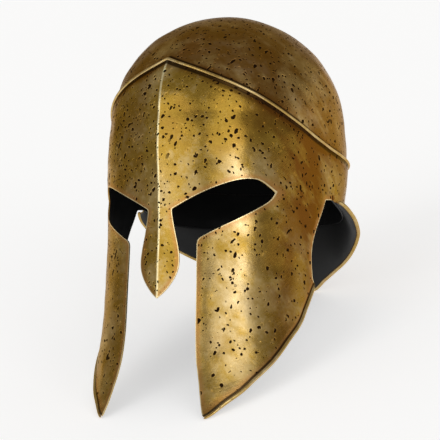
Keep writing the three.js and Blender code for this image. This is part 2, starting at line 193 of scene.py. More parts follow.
def form(turn, height, inset=0.0):
    """Oval in plan, radius = ((|sin|/wide)^n + (|cos|/long)^n)^(-1/n) at each turn, drawn in
    at the nape, with a ridge of e^(-|x|/spread) in front. Above the spring line the radius
    shrinks as the root of 1 - rise squared."""
    turn, height = np.broadcast_arrays(np.asarray(turn, float), np.asarray(height, float))
    up = np.minimum(height, SPRING) / HEIGHT
    ahead, aside = -np.cos(turn), np.sin(turn)
    wide = HALF_WIDTH * read(PLAN, up, 1)
    long = np.where(ahead < 0, FRONT_REACH * read(PLAN, up, 2), BACK_REACH * read(PLAN, up, 3))
    square = read(PLAN, up, 4)
    total = (np.abs(aside) / wide) ** square + (np.abs(ahead) / long) ** square
    rear = ease((np.arccos(np.clip(-ahead, -1, 1)) - np.pi / 2) / math.radians(50))
    rise = np.maximum((height - SPRING) / (HEIGHT - SPRING), 0)
    shrink = np.sqrt(np.maximum(1 - rise * rise, 0))
    radius = (total ** (-1 / square) * (1 - read(PLAN, up, 5) * rear) - inset) * shrink
    x = radius * aside
    fade = np.clip((HEIGHT - height) / 60, 0, 1)
    ridge = np.where(ahead < 0, RIDGE_HEIGHT * fade * np.exp(-np.abs(x) / RIDGE_SPREAD), 0)
    z = np.where(rise > 0, SPRING + (HEIGHT - inset - SPRING) * rise, height)
    return np.stack([x, AXIS_BACK + radius * ahead - ridge, z], -1)


def unit(vectors):
    """Each vector over its length."""
    return vectors / np.maximum(np.linalg.norm(vectors, axis=-1, keepdims=True), 1e-12)


def normal_of(turn, height, inset=0.0):
    """Cross product of the form's two directions, each taken between near points."""
    across = form(turn + 0.01, height, inset) - form(turn - 0.01, height, inset)
    upward = form(turn, height + 0.8, inset) - form(turn, height - 0.8, inset)
    return unit(np.cross(across, upward))


def rim_height(turn):
    """Height of the face shell's top edge, from the rim table."""
    away = np.degrees(np.abs(np.arctan2(np.sin(turn), np.cos(turn))))
    return HEIGHT * read(RIM, away, 1)


def curve(rows, steps=10):
    """Catmull-Rom line through rows of points."""
    p = np.asarray(rows, float)
    p = np.concatenate([2 * p[:1] - p[1:2], p, 2 * p[-1:] - p[-2:-1]])
    t = (np.arange(steps) / steps)[:, None]
    parts = []
    for a, b, c, d in zip(p[:-3], p[1:-2], p[2:-1], p[3:]):
        cubic = 2 * b + (c - a) * t + (2 * a - 5 * b + 4 * c - d) * t**2
        parts.append(0.5 * (cubic + (3 * b - 3 * c + d - a) * t**3))
    return np.concatenate([*parts, p[-2:-1]])


def spaced(points, count):
    """Points at even lengths along a line, each between its neighbours in proportion."""
    run = np.concatenate([[0], np.cumsum(np.linalg.norm(np.diff(points, axis=0), axis=1))])
    at = np.linspace(0, run[-1], count)
    return np.stack([np.interp(at, run, points[:, k]) for k in range(points.shape[1])], -1)


def turn_at(y, height):
    """Turn at which the form reaches y at a height, by halving."""
    low, high = np.zeros_like(y), np.full_like(y, np.pi)
    for _ in range(40):
        middle = (low + high) / 2
        short = form(middle, height)[..., 1] < y
        low, high = np.where(short, middle, low), np.where(short, high, middle)
    return (low + high) / 2


def line_distance(points, line):
    """Least distance from the steps of a line."""
    best = np.full(len(points), 1e9)
    for p, edge in zip(line[:-1], np.diff(line, axis=0)):
        t = np.clip(((points - p) @ edge) / max(edge @ edge, 1e-12), 0, 1)
        best = np.minimum(best, np.linalg.norm(points - p - t[:, None] * edge, axis=1))
    return best


def inside_distance(points, outline):
    """Distance from a closed outline, negative inside it by the crossing rule."""
    a, b = outline, np.roll(outline, -1, axis=0)
    best = np.full(len(points), 1e9)
    odd = np.zeros(len(points), bool)
    for p, q in zip(a, b):
        edge = q - p
        t = np.clip(((points - p) @ edge) / max(edge @ edge, 1e-12), 0, 1)
        best = np.minimum(best, np.linalg.norm(points - p - t[:, None] * edge, axis=1))
        crosses = (p[1] > points[:, 1]) != (q[1] > points[:, 1])
        if p[1] != q[1]:
            reach = p[0] + (points[:, 1] - p[1]) * (q[0] - p[0]) / (q[1] - p[1])
            odd ^= crosses & (points[:, 0] < reach)
    return np.where(odd, -best, best)


def uneven(points, size, seed):
    """Smooth noise: a sum of 14 sine waves of random direction about one wavelength."""
    random = np.random.default_rng(seed)
    total = np.zeros(points.shape[:-1])
    for _ in range(14):
        wave = unit(random.normal(size=3)) * 2 * np.pi / (size * random.uniform(0.7, 1.5))
        total += np.sin(points @ wave + random.uniform(0, 2 * np.pi))
    return total / math.sqrt(7)


def direction(aside, lift):
    """Unit vector that many degrees round from the face and up."""
    a, e = math.radians(aside), math.radians(lift)
    return np.array([math.sin(a) * math.cos(e), -math.cos(a) * math.cos(e), math.sin(e)])


# Meshes
def resting(points):
    """Worn millimetres to metres at rest: a turn about X, then down to the floor."""
    c, s = math.cos(LEAN), math.sin(LEAN)
    x, y, z = points[..., 0], points[..., 1], points[..., 2]
    return np.stack([x, y * c + z * s - MIDDLE, z * c - y * s - FLOOR], -1) / 1000


def grid_faces(across, along, wrap):
    """Quads between neighbours of a grid, as index rows. Point (i, j) has index i times
    along plus j, and the last column joins the first where the grid wraps."""
    columns = across if wrap else across - 1
    i, j = np.meshgrid(np.arange(columns), np.arange(along - 1), indexing="ij")
    k = (i + 1) % across
    quads = [i * along + j, k * along + j, k * along + j + 1, i * along + j + 1]
    return np.stack(quads, -1).reshape(-1, 4)


def triangles_of(quads):
    """Two triangles for each quad."""
    return np.concatenate([quads[:, [0, 1, 2]], quads[:, [0, 2, 3]]])


def clip(tris, keep):
    """Triangles cut where keep passes 0. Gives the pairs of old points and the share along
    each that the new points lie at, and the triangles over old and new points."""
    inside = keep > 0
    count = inside[tris].sum(1)
    rows = [tris[count == 3]]
    cut = tris[(count == 1) | (count == 2)]
    lone = inside[cut] == (inside[cut].sum(1) == 1)[:, None]
    first = np.argmax(lone, 1)
    turned = np.stack([cut[np.arange(len(cut)), (first + k) % 3] for k in range(3)], 1)
    pairs = np.concatenate([turned[:, [0, 1]], turned[:, [0, 2]]])
    keys, back = np.unique(np.sort(pairs, 1), axis=0, return_inverse=True)
    fresh = len(keep) + back.reshape(2, -1)
    share = keep[keys[:, 0]] / (keep[keys[:, 0]] - keep[keys[:, 1]])
    one = inside[turned[:, 0]]
    rows.append(np.stack([turned[:, 0], fresh[0], fresh[1]], 1)[one])
    rows.append(np.stack([turned[:, 1], turned[:, 2], fresh[1]], 1)[~one])
    rows.append(np.stack([turned[:, 1], fresh[1], fresh[0]], 1)[~one])
    return keys, share, np.concatenate(rows)


def carried(values, keys, share):
    """Values at the old points, then at the cuts: (1 - share) times the first of each pair
    plus share times the second."""
    first, second = values[keys[:, 0]], values[keys[:, 1]]
    return np.concatenate([values, first * (1 - share) + second * share])


def compact(tris, *arrays):
    """The triangles renumbered over the points that they use, and those points' values."""
    used, index = np.unique(tris, return_inverse=True)
    return index.reshape(tris.shape), *[a[used] for a in arrays]


def walls(tris):
    """Edges that one triangle alone uses, in its direction."""
    edges = np.concatenate([tris[:, [0, 1]], tris[:, [1, 2]], tris[:, [2, 0]]])
    pairs = np.sort(edges, 1)
    _, back, count = np.unique(pairs, axis=0, return_inverse=True, return_counts=True)
    return edges[count[back.reshape(-1)] == 1]


def closed(outer, inner, tris):
    """Outer face, the same face turned over inside, and a wall round every free edge."""
    n = len(outer)
    edge = walls(tris)
    side = np.stack([edge[:, 1], edge[:, 0], edge[:, 0] + n, edge[:, 1] + n], 1)
    faces = np.concatenate([tris, tris[:, ::-1] + n, triangles_of(side)])
    kinds = np.repeat([0, 1, 2], [len(tris), len(tris), 2 * len(side)])
    return np.concatenate([outer, inner]), faces, kinds


def both_sides(layers):
    """The same marks for the outer and the inner points."""
    return {key: np.concatenate([value, value]) for key, value in layers.items()}


def place(name, points, faces, kinds, looks, layers):
    """Mesh object at the origin, from worn millimetres, turned right way out where the sum
    of a . (b x c) over its triangles is negative."""
    spots = resting(points)
    a, b, c = spots[faces[:, 0]], spots[faces[:, 1]], spots[faces[:, 2]]
    if np.einsum("ij,ij->i", a, np.cross(b, c)).sum() < 0:
        faces = faces[:, ::-1]
    mesh = bpy.data.meshes.new(name)
    mesh.from_pydata(spots.tolist(), [], faces.tolist())
    for look in looks:
        mesh.materials.append(look)
    mesh.polygons.foreach_set("material_index", np.asarray(kinds, np.int32))
    for key, values in layers.items():
        layer = mesh.attributes.new(key, "FLOAT", "POINT")
        layer.data.foreach_set("value", np.asarray(values, np.float32))
    mesh.shade_smooth()
    mesh.set_sharp_from_angle(angle=SHARP)
    mesh.update()
    piece = bpy.data.objects.new(name, mesh)
    bpy.context.scene.collection.objects.link(piece)
    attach(piece, "root")
    return piece


def sweep(centres, normals, radius, taper=0.0, sides=14):
    """Round wire: each ring is the centre plus radius times cos and sin of two directions
    across the path. The radius follows a quarter round over each end, and grows from half
    over the length of the taper."""
    along = unit(np.gradient(centres, axis=0))
    first = unit(normals - (normals * along).sum(-1, keepdims=True) * along)
    second = np.cross(along, first)
    run = np.concatenate([[0], np.cumsum(np.linalg.norm(np.diff(centres, axis=0), axis=1))])
    near = np.minimum(run, run[-1] - run) / radius
    thick = radius * np.sqrt(np.clip(1 - (1 - np.clip(near, 0.05, 1)) ** 2, 0, 1))
    if taper:
        thick = thick * (0.5 + 0.5 * ease(run / taper))
    angle = np.arange(sides) * 2 * np.pi / sides
    cos, sin = np.cos(angle)[None, :, None], np.sin(angle)[None, :, None]
    ring = cos * first[:, None] + sin * second[:, None]
    points = (centres[:, None] + thick[:, None, None] * ring).transpose(1, 0, 2).reshape(-1, 3)
    n = len(centres)
    tris = triangles_of(grid_faces(sides, n, True))
    ends = len(points)
    points = np.concatenate([points, centres[:1], centres[-1:]])
    k = np.arange(sides)
    following = (k + 1) % sides
    start = np.stack([following * n, k * n, np.full(sides, ends)], 1)
    finish = np.stack([k * n + n - 1, following * n + n - 1, np.full(sides, ends + 1)], 1)
    return points, np.concatenate([tris, start, finish])


# Lines shared by the pieces
def cheek_lines():
    """Rim of a cheek on the form, its normals, and its inward directions: the cross product
    of line and normal, turned to point up and forward."""
    line = spaced(curve(CHEEK_EDGE, 12), 110) * [FRONT_REACH, HEIGHT] + [AXIS_BACK, 0]
    turn = turn_at(line[:, 0], line[:, 1])
    on, normal = form(turn, line[:, 1]), normal_of(turn, line[:, 1])
    along = unit(np.gradient(on, axis=0))
    inward = unit(np.cross(along, normal))
    inward *= np.where(inward[:, 2:] - inward[:, 1:2] < 0, -1, 1)
    return on, normal, inward


def face_outline():
    """The face opening seen from the front: nasal, eyes and cheek fronts, then their mirror."""
    half = np.concatenate([
        curve(NASAL_SIDE)[:-1], curve(EYE_TOP)[:-1], curve(EYE_BOTTOM)[:-1], curve(CHEEK_FRONT),
    ]) * [HALF_WIDTH, HEIGHT]
    return np.concatenate([half, half[:0:-1] * [-1, 1]])


def side_outline():
    """What is cut away seen from the side: below the cheek rim, the ear and the back band.
    The cheek's edge lies 1.55 bead radii inside its rim line, hidden by the wire."""
    on, _, inward = cheek_lines()
    edge = (on + inward * (1.55 * CHEEK_BEAD))[:, 1:]
    rear = np.concatenate([curve(EAR_EDGE)[:-1], [EAR_EDGE[-1]], BACK_EDGE, [(1.2, -0.1)]])
    rear = rear * [FRONT_REACH, HEIGHT] + [AXIS_BACK, 0]
    start = [edge[0] - [8, 8], edge[0] - [8, 46]]
    return np.concatenate([[start[1]], [start[0]], edge, rear])


def guard_lines(turn):
    """Lap, crease, bend and free edge of the neck guard at each turn, mirrored past 180.
    The crease follows the back band. The bend is a quarter of the way out from the crease
    to the edge and 0.62 of the way down."""
    mirror = np.where(turn > np.pi, -1.0, 1.0)
    at = np.where(turn > np.pi, 2 * np.pi - turn, turn)
    behind = (form(at, 0.5 * HEIGHT)[..., 1] - AXIS_BACK) / FRONT_REACH
    crease = HEIGHT * read(BACK_EDGE, behind, 1)
    out = -GUARD_GAP - SHEET
    hold, top = form(at, crease, out), form(at, crease + GUARD_LAP, out)
    reach = HALF_WIDTH * read(GUARD_EDGE, np.degrees(at), 1)
    up = HEIGHT * read(GUARD_EDGE, np.degrees(at), 2)
    edge = np.stack([reach * np.sin(at), AXIS_BACK - reach * np.cos(at), up], -1)
    bend = hold + 0.25 * (edge - hold)
    bend[..., 2] = hold[..., 2] - 0.62 * np.maximum(hold[..., 2] - edge[..., 2], 0)
    away = unit(edge - bend)
    flip = np.stack([mirror, np.ones_like(at), np.ones_like(at)], -1)
    return [line * flip for line in (top, hold, bend, edge, away)]


# Shader maths
class Value:
    """A socket that takes part in Python arithmetic through Math nodes."""

    def __init__(self, kit, socket):
        self.kit, self.socket = kit, socket

    def join(self, operation, other, swap=False):
        """A Math node on this value and the other."""
        pair = (other, self) if swap else (self, other)
        return self.kit.node("ShaderNodeMath", {"operation": operation}, dict(enumerate(pair)))

    def __add__(self, other):
        return self.join("ADD", other)

    __radd__ = __add__

    def __mul__(self, other):
        return self.join("MULTIPLY", other)

    __rmul__ = __mul__

    def __sub__(self, other):
        return self.join("SUBTRACT", other)

    def __rsub__(self, other):
        return self.join("SUBTRACT", other, True)

    def most(self, other):
        """The greater of the two."""
        return self.join("MAXIMUM", other)


class Look:
    """A material built from expressions."""

    def __init__(self, name):
        self.material = bpy.data.materials.new(name)
        self.material.use_nodes = True
        self.tree = self.material.node_tree
        self.shader = self.tree.nodes["Principled BSDF"]
        self.place = self.node("ShaderNodeTexCoord", {}, {}, "Object")

    def node(self, kind, settings, inputs, output=0):
        """Adds a node: settings first, a ramp's stops among them, then values or links."""
        made = self.tree.nodes.new(kind)
        for key, value in settings.items():
            if key == "stops":
                ramp = made.color_ramp.elements
                while len(ramp) < len(value):
                    ramp.new(0.5)
                for stop, (at, colour) in zip(ramp, value):
                    stop.position, stop.color = at, (*colour, 1)
            else:
                setattr(made, key, value)
        for key, value in inputs.items():
            if isinstance(value, Value):
                self.tree.links.new(value.socket, made.inputs[key])
            else:
                made.inputs[key].default_value = value
        return Value(self, made.outputs[output])

    def noise(self, scale, detail, rough, at=None, colour=False):
        """Cloudy noise with scale cells in a metre."""
        values = {"Vector": at or self.place, "Scale": scale, "Detail": detail, "Roughness": rough}
        return self.node("ShaderNodeTexNoise", {}, values, "Color" if colour else "Fac")

    def band(self, value, low, high):
        """0 below low, 1 above high, with a smooth step between."""
        settings = {"interpolation_type": "SMOOTHSTEP"}
        return self.node("ShaderNodeMapRange", settings, {0: value, 1: low, 2: high})

    def mix(self, share, first, second, blend="MIX"):
        """First colour at share 0, second blended over it at share 1."""
        settings = {"data_type": "RGBA", "blend_type": blend}
        first = first if isinstance(first, Value) else (*first, 1)
        second = second if isinstance(second, Value) else (*second, 1)
        return self.node("ShaderNodeMix", settings, {0: share, 6: first, 7: second}, 2)

    def layer(self, name):
        """The piece's own values of that name, laid down with its mesh."""
        return self.node("ShaderNodeAttribute", {"attribute_name": name}, {}, "Fac")

    def mapped(self, turn, stretch, at=None):
        """Object coordinates turned and stretched."""
        values = {"Vector": at or self.place, "Rotation": turn, "Scale": stretch}
        return self.node("ShaderNodeMapping", {"vector_type": "TEXTURE"}, values)

    def give(self, **values):
        """Sets the shader's sockets and hands back the material."""
        for key, value in values.items():
            socket = self.shader.inputs[key.replace("_", " ")]
            if isinstance(value, Value):
                self.tree.links.new(value.socket, socket)
            else:
                socket.default_value = value
        return self.material

    def bump(self, height, strength, distance):
        """Normal from a height."""
        values = {"Height": height, "Strength": strength, "Distance": distance}
        return self.node("ShaderNodeBump", {}, values)


# Kinds of pit. Columns: cells in a metre, size, share of cells, turn and stretch of the pattern
PITS = (
    (135, 0.23, 0.65, (0.3, 0.5, 0.9), (1, 1, 2.1)),
    (150, 0.23, 0.65, (1.2, 0.2, 2.1), (2.1, 1, 1)),
    (120, 0.14, 0.7, (2.2, 1.1, 0.3), (1, 1, 4.2)),
    (230, 0.28, 0.45, (0.9, 2.4, 1.6), (1, 1, 1.3)),
    (290, 0.28, 0.4, (2.9, 1.4, 0.6), (1.5, 1, 1)),
)

# Finishes of the bronze. Columns: tone, how pitted, share of copper, share of olive
FINISHES = {
    "face": (0.02, 1.0, 0.15, 0.3), "dome": (-0.01, 0.95, 0.35, 0.0), "rim": (0.05, 0.1, 0.35, 0.0),
}


def pits(look, wobble, scale, size, share, turn, stretch):
    """Dark pit mask and pale halo: the distance to random points, less a random size each."""
    values = {"Vector": look.mapped(turn, stretch, wobble), "Scale": scale, "Randomness": 1.0}
    spots = look.node("ShaderNodeTexVoronoi", {}, values, "Distance")
    cell = Value(look, spots.socket.node.outputs["Color"])
    chance = look.node("ShaderNodeSeparateColor", {}, {0: cell}, "Red")
    swell = Value(look, chance.socket.node.outputs["Green"])
    room = size * (0.5 + 0.7 * swell)
    there = look.band(share - chance, 0.0, 0.02)
    dark = there * look.band(room - spots, -0.005, 0.06)
    return dark, there * look.band(room + 0.075 - spots, 0.0, 0.1)


def marked(look, colour, sizes):
    """Bronze with its marks: pale patches that are mostly painted highlights, painted brown shade,
    copper near edges, painted highlights as bright lines on edges and on the ridge, and painted
    shade in the grooves beside the rims, whose distances are in millimetres."""
    patchy = look.noise(38, 4, 0.65, look.mapped((0.43, 0, 0), (1, 1, 2.4)))
    # Pale patches, most of them painted highlights, broken up by a stretched noise
    worn = look.layer("worn") * look.band(patchy, 0.3, 0.62)
    colour = look.mix(worn, colour, sizes.pale)
    # Painted brown shade, thinned where the same noise is high
    shade = look.layer("shade") * (1.15 - 0.9 * look.band(patchy, 0.45, 0.72))
    colour = look.mix(shade, colour, sizes.shade)
    edge = look.layer("edge")
    colour = look.mix(0.55 - 0.55 * look.band(edge, 1.5, 6.0), colour, sizes.copper)
    # Painted highlights: bright lines along the cut edges and along the ridge in the middle
    ridge = 1 - look.band(look.layer("middle"), 0.4, 1.5)
    colour = look.mix(0.8 * (1 - look.band(edge, 0.3, 1.1)).most(ridge), colour, sizes.bright)
    # Painted shade in the grooves beside the brow bead and the cheek wires, in the pit colour
    groove_shade = 1 - look.band(look.layer("below"), 2.2, 3.8)
    groove_shade = groove_shade.most(1 - look.band(look.layer("beside"), 5.2, 6.6))
    return look.mix(0.92 * groove_shade, colour, sizes.pit)


def bronze(kind, sizes):
    """Aged bronze: three sizes of noise pick from brown, gold and pale, marks lie over it,
    and pits with pale halos over those. Roughness and bump follow the same noise."""
    tone, pitting, reddish, greenish = FINISHES[kind]
    look = Look(kind + "_bronze")
    cloud = look.noise(20, 4, 0.6, look.mapped((0.43, 0, 0), (1, 1, 1.8)))
    fine = look.noise(110, 5, 0.7)
    grain = look.noise(420, 3, 0.6)
    colour = look.node(
        "ShaderNodeValToRGB",
        {"stops": [(0.34, sizes.dark), (0.5, sizes.gold), (0.7, sizes.pale)]},
        {0: cloud * 0.55 + fine * 0.32 + grain * 0.17 + tone - 0.02},
        "Color",
    )
    warm = look.noise(30, 3, 0.5)
    colour = look.mix(reddish * look.band(warm, 0.55, 0.72), colour, sizes.copper)
    if greenish:
        colour = look.mix(greenish + 0.15 * look.band(warm, 0.48, 0.3), colour, sizes.olive)
    scratch = look.noise(60, 4, 0.7, look.mapped((0.4, 0.2, 0.3), (1, 1, 0.06)))
    rough = 0.17 + 0.18 * fine + 0.12 * look.band(cloud, 0.45, 0.7)
    if kind == "rim":
        # A little of the bright colour over the whole wire, as a painted highlight
        colour = look.mix(0.12, colour, sizes.bright)
        rough = rough - 0.06
    else:
        colour = marked(look, colour, sizes)
    drift = look.node(
        "ShaderNodeVectorMath",
        {"operation": "MULTIPLY_ADD"},
        {0: look.noise(260, 2, 0.5, colour=True), 1: (0.0026,) * 3, 2: look.place},
    )
    weight = look.layer("pits") * pitting
    dark, halo = None, None
    for scale, size, share, turn, stretch in PITS:
        one, ring = pits(look, drift, scale, size, share * weight, turn, stretch)
        dark = one if dark is None else dark.most(one)
        halo = ring if halo is None else halo.most(ring)
    colour = look.mix(0.9 * halo, colour, (0.42, 0.4, 0.36), "DODGE")
    lift = 0.3 * scratch + 0.4 * fine + 0.25 * grain - 3.5 * dark
    return look.give(
        Base_Color=look.mix(dark, colour, sizes.pit),
        Metallic=1.0,
        Specular_Tint=(0.88, 0.7, 0.48, 1),
        Roughness=rough + 0.4 * dark,
        Normal=look.bump(lift, 0.6, 0.0005),
    )


def paint(colour):
    """Black satin paint with a faint orange-peel skin."""
    look = Look("black_paint")
    peel = look.noise(220, 3, 0.5)
    cloud = look.noise(12, 3, 0.5)
    tone = look.mix(0.6 * cloud, colour, tuple(2.6 * c for c in colour))
    return look.give(
        Base_Color=tone,
        Roughness=0.3 + 0.2 * cloud,
        Specular_IOR_Level=0.32,
        Normal=look.bump(peel, 0.15, 0.0003),
    )


# Settings that a user would change
class HelmetMetal(bpy.types.PropertyGroup):
    """Colours of the bronze, its pits and the paint inside."""

    gold: FloatVectorProperty(
        name="Gold", description="Main colour of the bronze", subtype="COLOR",
        default=(0.40, 0.235, 0.036))
    # Pale: the top of the cloud ramp, and the colour of the painted highlights
    pale: FloatVectorProperty(
        name="Pale", description="Worn, brighter bronze", subtype="COLOR",
        default=(0.69, 0.535, 0.29))
    dark: FloatVectorProperty(
        name="Dark", description="Brown bronze in the clouds", subtype="COLOR",
        default=(0.22, 0.108, 0.014))
    olive: FloatVectorProperty(
        name="Olive", description="Greenish bronze in patches", subtype="COLOR",
        default=(0.36, 0.24, 0.035))
    copper: FloatVectorProperty(
        name="Copper", description="Reddish bronze at edges", subtype="COLOR",
        default=(0.46, 0.21, 0.065))
    # Bright: the colour of the painted highlights on the ridge, the cut edges and the rims
    bright: FloatVectorProperty(
        name="Bright", description="Bronze rubbed bare on the ridge and rims", subtype="COLOR",
        default=(1.0, 0.86, 0.5))
    # Shade: the colour of the painted shade on the face shell, the dome and the neck guard
    shade: FloatVectorProperty(
        name="Shade", description="Brown patina at the temples", subtype="COLOR",
        default=(0.165, 0.062, 0.009))
    # Pit: the inside of a pit, and also the colour of the painted shade beside the rims
    pit: FloatVectorProperty(
        name="Pit", description="Inside of a pit", subtype="COLOR",
        default=(0.026, 0.012, 0.005))
    paint: FloatVectorProperty(
        name="Paint", description="Paint inside the helmet", subtype="COLOR",
        default=(0.0035, 0.0035, 0.0035))


class HelmetShape(bpy.types.PropertyGroup):
    """Sheet thickness and fineness of the surfaces."""

    sheet: FloatProperty(
        name="Sheet", description="Thickness of the bronze", default=SHEET / 1000,
        min=0.0005, max=0.003, precision=4, unit="LENGTH", subtype="DISTANCE")
    columns: IntProperty(
        name="Columns", description="Points round the face shell", default=330, min=60, max=420,
        subtype="UNSIGNED")
    rows: IntProperty(
        name="Rows", description="Points down the face shell", default=170, min=40, max=220,
        subtype="UNSIGNED")
    hammer: FloatProperty(
        name="Hammering", description="Height of the hammered unevenness", default=0.0003,
        min=0, max=0.001, precision=4, unit="LENGTH", subtype="DISTANCE")

    def in_millimetres(self):
        """Thickness and hammering as the form is measured."""
        return self.sheet * 1000, self.hammer * 1000


# Finishes that are already made
METALS = {}


def metal(context, name):
    """The named finish, made the first time."""
    if name not in METALS:
        sizes = context.scene.helmet_metal
        METALS[name] = paint(tuple(sizes.paint)) if name == "paint" else bronze(name, sizes)
    return METALS[name]


def front_turns(count):
    """Turns round the helmet, less 0.3 of their sine, so closer together over the face."""
    even = np.linspace(-np.pi, np.pi, count, endpoint=False)
    return even - 0.3 * np.sin(even)


class HELMET_OT_face_shell(bpy.types.Operator):
    """One sheet with brow, eye openings, nasal, cheeks and back band"""

    bl_idname = "helmet.face_shell"
    bl_label = "Face shell"

    def execute(self, context):
        sizes = context.scene.helmet_shape
        sheet, hammer = sizes.in_millimetres()
        across, along = sizes.columns, sizes.rows
        # Rows at even heights from the top edge to a little below the cheek tips
        turn = np.repeat(front_turns(across)[:, None], along, 1)
        top = rim_height(turn)
        height = top - (top + 4) * np.linspace(0, 1, along)[None]
        turn, height, top = turn.ravel(), height.ravel(), top.ravel()
        tris = triangles_of(grid_faces(across, along, True))
        spot = form(turn, height)
        # The face opening is cut in front alone, and the side outline right through
        side = inside_distance(spot[:, 1:], side_outline())
        front = inside_distance(spot[:, [0, 2]], face_outline())
        front = np.where(spot[:, 1] < AXIS_BACK - 0.15 * FRONT_REACH, front, 1e3)
        keep = np.minimum(side, front)
        keys, share, tris = clip(tris, keep)
        pair = turn[keys]
        step = (pair[:, 1] - pair[:, 0] + np.pi) % (2 * np.pi) - np.pi
        turn = np.concatenate([turn, pair[:, 0] + share * step])
        height, top = carried(height, keys, share), carried(top, keys, share)
        edge = carried(np.clip(keep, 0, 40), keys, share)
        tris, turn, height, top, edge = compact(tris, turn, height, top, edge)
        spot, normal = form(turn, height), normal_of(turn, height)
        # A shallow groove under the bead, and dents that fade out towards the edges
        below = top - height
        groove = -0.55 * np.exp(-(((below - 2.6) / 1.5) ** 2))
        dents = hammer * (0.6 * uneven(spot, 55, 3) + 0.4 * uneven(spot, 22, 4))
        calm = ease(edge / 10) * ease(below / 12)
        outer = spot + normal * (groove + dents * calm)[:, None]
        inner = outer - normal * sheet
        points, faces, kinds = closed(outer, inner, tris)
        # Walls behind the ear and below the back band are painted as the inside is
        behind = np.abs(np.tile(turn, 2))[faces].min(1) > 1.45
        low = np.tile(height, 2)[faces].min(1) < 0.55 * HEIGHT
        kinds[(kinds == 2) & behind & low] = 1
        layers = self.marks(spot, turn, height, edge, below)
        looks = [metal(context, "face"), metal(context, "paint"), metal(context, "rim")]
        piece = place("face_sheet", points, faces, kinds, looks, both_sides(layers))
        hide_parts("face_shell")
        return {"FINISHED"}

    def marks(self, spot, turn, height, edge, below):
        """Painted shade, painted highlights and pitting: sums of round patches
        e^(-(turn/breadth)^2 - (up/tall)^2), with painted brown shade to the rear and on the far
        side. Distances for the thin lines go with them."""
        away = np.degrees(np.abs(turn))
        near = turn > 0

        def patch(round_, breadth, up, tall):
            """One round patch, in degrees and millimetres."""
            return np.exp(-(((away - round_) / breadth) ** 2) - ((height - up) / tall) ** 2)

        # Painted shade: patches at the temples and upper brow, a band down the back of each cheek,
        # a band under the brow bead, more toward the rear and over the far half
        cheek = np.exp(-(((away - 52) / 9) ** 2)) * ease((200 - height) / 60)
        under = np.exp(-(((below - 3) / 4) ** 2))
        rear = np.where(near, 0.68, 0.5) * ease((away - 58) / 14)
        rear = np.maximum(rear, np.where(turn < 0, 0.38, 0.0) * ease((away - 3) / 6))
        shade = 0.95 * patch(60, 14, 220, 62) + 0.5 * patch(44, 10, 278, 28)
        shade = np.clip(shade + 0.65 * cheek + 0.5 * under + rear, 0, 1)
        # Painted highlights: a band down each cheek, weaker on the far side, and patches above the
        # eyes and at the root of the nose
        worn = np.exp(-(((away - 29) / 9) ** 2)) * ease((225 - height) / 30)
        worn = worn * np.where(near, 0.75 * ease(height / 90) + 0.1, 0.25)
        worn = np.maximum(worn, patch(34, 9, 220, 17) + 0.4 * patch(0, 7, 202, 24))
        pitted = (0.75 + 0.3 * patch(26, 26, 245, 60)) * (0.6 + 0.4 * ease(height / 150))
        pitted = pitted * np.where(near, 1.06, 1.75) * ease((edge - 0.4) / 2)
        mirrored = np.abs(spot * [1, 0, 0]) + spot * [0, 1, 1]
        return {
            "shade": shade, "worn": worn, "pits": pitted, "edge": edge, "below": below,
            "beside": line_distance(mirrored, cheek_lines()[0]),
            "middle": np.abs(spot[:, 0]) + np.where(np.abs(turn) < 1, 0, FAR),
        }


class HELMET_OT_crown(bpy.types.Operator):
    """Domed skull sheet lapped inside the face shell"""

    bl_idname = "helmet.crown"
    bl_label = "Crown"

    def execute(self, context):
        sheet, hammer = context.scene.helmet_shape.in_millimetres()
        across, along = 260, 96
        turn = np.repeat(front_turns(across)[:, None], along, 1)
        # Even steps round the dome's arc, whose height above the spring line is a sine
        low = (rim_height(turn) - LAP - SPRING) / (HEIGHT - SPRING)
        start = np.where(low > 0, np.arcsin(np.clip(low, 0, 1)), low)
        step = start + (np.pi / 2 - 0.012 - start) * np.linspace(0, 1, along)[None]
        height = SPRING + (HEIGHT - SPRING) * np.where(step > 0, np.sin(step), step)
        turn, height = turn.ravel(), height.ravel()
        inset = SHEET + LAP_GAP
        outer, normal = form(turn, height, inset), normal_of(turn, np.minimum(height, HEIGHT - 2))
        above = height - rim_height(turn)
        dents = hammer * (0.6 * uneven(outer, 60, 11) + 0.4 * uneven(outer, 24, 12))
        dents = dents * ease(above / 25) * ease((HEIGHT - 3 - height) / 12)
        outer = outer + normal * dents[:, None]
        inner = form(turn, height, inset + sheet)
        # One point closes each face at the top
        top = np.full(1, HEIGHT - 1e-6)
        outer = np.concatenate([outer, form(np.zeros(1), top, inset)])
        inner = np.concatenate([inner, form(np.zeros(1), top, inset + sheet)])
        k = np.arange(across)
        last, following = k * along + along - 1, (k + 1) % across * along + along - 1
        cap = np.stack([last, following, np.full(across, across * along)], 1)
        tris = np.concatenate([triangles_of(grid_faces(across, along, True)), cap])
        points, faces, kinds = closed(outer, inner, tris)
        far = np.full(len(outer), FAR)
        # Painted shade over the whole dome, darkest beside the brow bead, and an even quarter share
        # of pale
        layers = {
            "shade": np.append(0.66 + 0.34 * np.exp(-((above / 7) ** 2)), 0.66),
            "worn": 0.25 + 0 * far,
            "pits": np.append(1.2 + 0 * height, 0.6),
            "below": np.append(np.clip(above, 0, FAR) - 3.2, FAR),
            "edge": far, "beside": far, "middle": far,
        }
        looks = [metal(context, "dome"), metal(context, "paint"), metal(context, "dome")]
        piece = place("crown_dome", points, faces, kinds, looks, both_sides(layers))
        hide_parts("crown")
        return {"FINISHED"}


